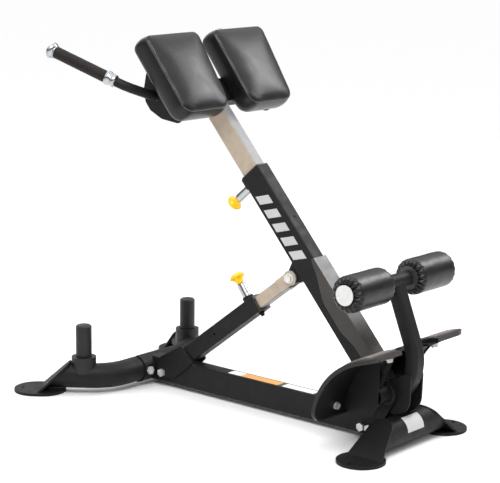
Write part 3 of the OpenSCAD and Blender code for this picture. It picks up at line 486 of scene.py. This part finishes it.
def inflate(obj, held, cap):
    """Cloth pressure swells the closed skin. held(co) pins a point, and cap limits how far one moves."""
    before = [v.co.copy() for v in obj.data.vertices]
    group = obj.vertex_groups.new(name="held")
    group.add([i for i, co in enumerate(before) if held(co)], 1.0, "REPLACE")
    cloth = obj.modifiers.new("swell", "CLOTH")
    s = cloth.settings
    s.use_pressure = True
    s.uniform_pressure_force = CLOTH_PRESSURE
    s.vertex_group_mass = "held"
    s.effector_weights.gravity = 0
    cloth.point_cache.frame_start, cloth.point_cache.frame_end = 1, CLOTH_FRAMES
    for f in range(1, CLOTH_FRAMES + 1):
        bpy.context.scene.frame_set(f)
    shaped = obj.evaluated_get(bpy.context.evaluated_depsgraph_get())
    after = [v.co.copy() for v in shaped.data.vertices]
    obj.modifiers.remove(cloth)
    for v, a, b in zip(obj.data.vertices, before, after):
        move = b - a
        v.co = a + (move if move.length <= cap else move * (cap / move.length))
    bpy.context.scene.frame_set(1)


def relax(obj, keep, times):
    """Evens out the skin where keep(co) is false."""
    bm = bmesh.new()
    bm.from_mesh(obj.data)
    loose = [v for v in bm.verts if not keep(v.co)]
    for _ in range(times):
        bmesh.ops.smooth_vert(
            bm, verts=loose, factor=0.5, use_axis_x=True, use_axis_y=True, use_axis_z=True,
        )
    bm.to_mesh(obj.data)
    bm.free()


def remesh(obj, size):
    m = obj.modifiers.new("remesh", "REMESH")
    m.mode, m.voxel_size, m.use_smooth_shade = "VOXEL", size, True
    apply_modifier(obj, m)


def apply_modifier(obj, m):
    with bpy.context.temp_override(object=obj, active_object=obj, selected_objects=[obj]):
        bpy.ops.object.modifier_apply(modifier=m.name)


def subdivide(obj, levels=1):
    m = obj.modifiers.new("smooth", "SUBSURF")
    m.levels = m.render_levels = levels
    apply_modifier(obj, m)


def tube_along(name, points, radius, material, sides=8):
    """A closed cord through a loop of points."""
    n = len(points)
    turns = [2 * math.pi * k / sides for k in range(sides)]
    rings = []
    for i, p in enumerate(points):
        d = (points[(i + 1) % n] - points[i - 1]).normalized()
        side = d.cross(Vector((0, 0.6, 0.8))).normalized()
        up = side.cross(d)
        rings.append([p + radius * (math.cos(t) * side + math.sin(t) * up) for t in turns])
    return loft(name, rings + [rings[0]], material, caps=False)


def hip_pad(side, node):
    axes = pad_axes()
    mirror = Matrix.Scale(side, 4, (1, 0, 0))
    obj = loft(f"pad_{node}", [pad_ring(i, y) for i, y in PAD_LAYERS], VINYL)
    remesh(obj, PAD_VOXEL)
    inflate(obj, stapled_or_sewn, PAD_SWELL)
    relax(obj, lambda co: co.y < 0.008 or on_rim(co), RELAX_PASSES)
    subdivide(obj)
    pucker(obj)
    seam = seam_points(obj)
    place = mirror @ axes
    obj.data.transform(place)
    if side < 0:
        obj.data.flip_normals()
    for f in obj.data.polygons:
        f.use_smooth = True
    cord = tube_along(f"piping_{node}", [place @ p for p in seam], PIPING_R, PIPING)
    for o in (obj, cord):
        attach(o, "pad_carriage")
    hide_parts(node)
    return obj


def stapled_or_sewn(co):
    """What the swelling leaves in place: the back edge, and the band along the seam."""
    return co.y < -PAD_BACK + 0.008 or abs(co.y - SEAM_Y) < 0.004 and on_rim(co)


def on_rim(co):
    """Near the outline of the pad, seen from the front."""
    t = co.z / PAD_LENGTH
    inner = PAD_IN_LOW + (PAD_IN_HIGH - PAD_IN_LOW) * t
    outer = PAD_OUT_LOW + (PAD_OUT_HIGH - PAD_OUT_LOW) * t
    return min(co.x - inner, outer - co.x, co.z, PAD_LENGTH - co.z) < 0.012


def pucker(obj):
    """Small gathers where the vinyl is pulled round the edge below the seam, and soft hollows in the skin."""
    for v in obj.data.vertices:
        below = max(0.0, 1 - abs(v.co.y + 0.008) / 0.014)
        if on_rim(v.co):
            ripple = noise.noise(Vector((v.co.x * 70, v.co.z * 70, 3.0)))
            v.co += Vector((0, 0.0010, 0)) * ripple * below
        v.co.y += 0.0008 * noise.noise(Vector((v.co.x * 14, v.co.y * 14, v.co.z * 14)))


def seam_points(obj):
    """The seam outline laid on the finished skin."""
    bm = bmesh.new()
    bm.from_mesh(obj.data)
    tree = BVHTree.FromBMesh(bm)
    bm.free()
    out = []
    for p in pad_ring(0.0, SEAM_Y + 0.0012, steps=8):
        hit, normal, _, _ = tree.find_nearest(Vector(p))
        out.append(hit + normal * 0.0002)
    return out


for side, node in ((1, "hip_pad_left"), (-1, "hip_pad_right")):
    hip_pad(side, node)


# ---- Leg rollers ----
def roller(side, node, body):
    """Foam roller in a vinyl sleeve that is gathered over both ends."""
    centre = box_centre(node)
    x0, x1 = ROLLER_IN, ROLLER_OUT
    end = ROLLER_END
    turns = [(math.pi / 2 * k / 8, k / 8) for k in range(9)]
    profile = [(x0 + 0.004, 0.0290, 0.3), (x0 + 0.0008, 0.0315, 0.8)]
    rounding = [(end - end * math.sin(t), ROLLER_R - end + end * math.cos(t), fold) for t, fold in turns]
    profile += [(x0 + x, r, fold) for x, r, fold in reversed(rounding)]
    profile += [(x0 + end + (x1 - x0 - 2 * end) * k / 24, ROLLER_R, 0.0) for k in range(1, 24)]
    profile += [(x1 - x, r, fold) for x, r, fold in rounding]
    profile += [(x1 - 0.0008, 0.0305, 0.8), (x1 - 0.004, 0.0270, 0.3)]
    steps = ROLLER_FOLDS * 14
    rings = []
    for x, r, fold in profile:
        ring = []
        for i in range(steps):
            a = 2 * math.pi * i / steps
            wobble = 0.35 * math.sin(3 * a + 1.0)
            valley = (1 - abs(math.sin(ROLLER_FOLDS * a / 2 + wobble))) ** 1.4
            dip = -FOLD_DEPTH * fold * valley * (1.1 - 0.3 * math.sin(5 * a))
            soft = 0.0005 * noise.noise(Vector((x * 30, 2 * math.cos(a), 2 * math.sin(a))))
            rr = r + dip * 0.8 + soft
            xx = x + (dip if x > (x0 + x1) / 2 else -dip)
            ring.append((side * xx, centre.y + rr * math.cos(a), centre.z + rr * math.sin(a)))
        rings.append(ring)
    obj = loft(f"sleeve_{node}", rings, VINYL)
    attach(obj, body)
    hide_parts(node)
    return obj


roller(1, "roller_left", "roller_left_body")
roller(-1, "roller_right", "roller_right_body")


# ---- Knobs and caps ----
KNOB = (
    [(0.0001, 0.0), (0.0105, 0.0)] + arc(0.0095, 0.0015, 0.0015, -60, 0, 3)
    + [(0.0112, 0.006), (0.0125, 0.010), (0.0155, 0.0142), (0.0195, 0.0172), (0.0222, 0.0190)]
    + arc(0.0212, 0.0218, 0.0023, -60, 60, 6)
    + [(0.0205, 0.0262), (0.0175, 0.0297), (0.0130, 0.0322), (0.0070, 0.0336), (0.0001, 0.034)]
)


def knob(node, body, lean, name):
    """The flared knob, turned about the pin's own axis."""
    turn = Matrix.Rotation(lean, 4, "X") @ Matrix.Rotation(math.pi / 2, 4, "X")
    local = [turn.inverted() @ v.co for v in nodes[node].data.vertices]
    across = [p.y for p in local]
    base = Vector((0, (min(across) + max(across)) / 2, min(p.z for p in local)))
    obj = lathe(name, KNOB, YELLOW, Matrix.Translation(turn @ base) @ turn)
    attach(obj, body)
    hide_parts(node)


knob("height_knob", "height_pull_pin", UPRIGHT_LEAN, "pull_knob_height")
knob("strut_knob", "strut_pull_pin", STRUT_LEAN, "pull_knob_strut")


def turned_fitting(name, node, side, axis, profile):
    """A turned piece over one of the two halves of a node; profile: (radius, share of the length) pairs."""
    points = [v.co for v in nodes[node].data.vertices if v.co.x * side > 0]
    centre = sum(points, Vector()) / len(points)
    reach = [(p - centre).dot(axis) for p in points]
    start, length = min(reach), max(reach) - min(reach)
    turn = Vector((0, 0, 1)).rotation_difference(axis).to_matrix().to_4x4()
    profile = [(r, start + length * share) for r, share in profile]
    obj = lathe(name, profile, CHROME, Matrix.Translation(centre) @ turn)
    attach(obj, "pad_carriage")
    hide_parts(node)


# The end cap of a handle: its radius, and where its neck and its end lie as shares of the CAD cap
CAP_R, CAP_NECK, CAP_END = 0.0248, 0.20, 1.28
CAP_START = math.radians(-38)
DOME_LOW = math.sin(CAP_START)
DOME = [CAP_START + (math.pi / 2 - CAP_START) * k / 14 for k in range(14)]
CAP = (
    [(0.0001, 0.0), (0.0180, 0.0), (0.0200, 0.05), (0.0200, 0.12), (0.0184, 0.17)]
    + [
        (CAP_R * math.cos(t), CAP_NECK + (CAP_END - CAP_NECK) * (math.sin(t) - DOME_LOW) / (1 - DOME_LOW))
        for t in DOME
    ]
    + [(0.0001, CAP_END)]
)
COLLAR = [
    (0.0001, 0.0), (0.0160, 0.0), (0.0188, 0.10), (0.0192, 0.30), (0.0176, 0.46),
    (0.0186, 0.56), (0.0212, 0.72), (0.0214, 0.90), (0.0196, 1.0), (0.0001, 1.0),
]


def half_centre(node, side):
    points = [v.co for v in nodes[node].data.vertices if v.co.x * side > 0]
    return sum(points, Vector()) / len(points)


for side, word in ((1, "left"), (-1, "right")):
    axis = (half_centre("handle_caps", side) - half_centre("grip_collars", side)).normalized()
    turned_fitting(f"cap_{word}", "handle_caps", side, axis, CAP)
    turned_fitting(f"collar_{word}", "grip_collars", side, axis, COLLAR)


# ---- Stage, light and camera ----
def floor():
    bm = bmesh.new()
    bmesh.ops.create_grid(bm, x_segments=1, y_segments=1, size=30)
    pale = surface("floor", (0.86, 0.86, 0.86), 0.9, vary=0.01, grain=50, grain_strength=0.02, specular=0.1)
    obj = from_bmesh("floor", bm, pale)
    obj.location.z = -0.0005


def area_light(name, at, target, size, power):
    data = bpy.data.lights.new(name, "AREA")
    data.shape, data.size, data.energy = "SQUARE", size, power
    obj = bpy.data.objects.new(name, data)
    obj.location = at
    obj.rotation_euler = (Vector(target) - Vector(at)).to_track_quat("-Z", "Y").to_euler()
    bpy.context.scene.collection.objects.link(obj)


bpy.context.scene.view_settings.view_transform = "Standard"
SKY_STRENGTH = 1.4
floor()
MIDDLE = (0, 0, 0.5)
area_light("key", (1.6, 1.4, 3.4), MIDDLE, 1.6, 70)
area_light("left", (-1.0, -3.2, 2.6), MIDDLE, 2.4, 30)
area_light("sheen", (-2.3, 1.1, 2.5), (0, 0, 0.9), 1.1, 40)

world = bpy.data.worlds.new("studio")
bpy.context.scene.world = world
world.use_nodes = True
background = world.node_tree.nodes["Background"]
# White below the horizon, dark just above it and bright overhead
nt = world.node_tree
sky = add(nt, "ShaderNodeSeparateXYZ")
nt.links.new(coords(nt, "Generated"), sky.inputs[0])
height = math_node(nt, "MULTIPLY", math_node(nt, "ADD", sky.outputs["Z"], 1.0), 0.5)
dome = ramp(nt, height, [
    (0.495, grey(1.0)), (0.505, grey(0.16)), (0.66, grey(0.20)), (0.80, grey(1.0)),
])
nt.links.new(dome, background.inputs["Color"])
background.inputs["Strength"].default_value = SKY_STRENGTH

CAMERA_AT = Vector((3.854, 3.242, 1.546))
AZIMUTH, ELEVATION, ROLL = math.radians(130.04), math.radians(11.75), math.radians(0.72)
LENS = 125.85
back = Vector((
    math.sin(AZIMUTH) * math.cos(ELEVATION),
    -math.cos(AZIMUTH) * math.cos(ELEVATION),
    math.sin(ELEVATION),
))
right = Vector((0, 0, 1)).cross(back).normalized()
up = back.cross(right)
camera_data = bpy.data.cameras.new("camera")
camera_data.lens, camera_data.sensor_width, camera_data.sensor_fit = LENS, 36, "HORIZONTAL"
camera_data.clip_end = 60
camera = bpy.data.objects.new("camera", camera_data)
turn = Matrix((right, up, back)).transposed().to_4x4() @ Matrix.Rotation(ROLL, 4, "Z")
camera.matrix_world = Matrix.Translation(CAMERA_AT) @ turn
bpy.context.scene.collection.objects.link(camera)
bpy.context.scene.camera = camera
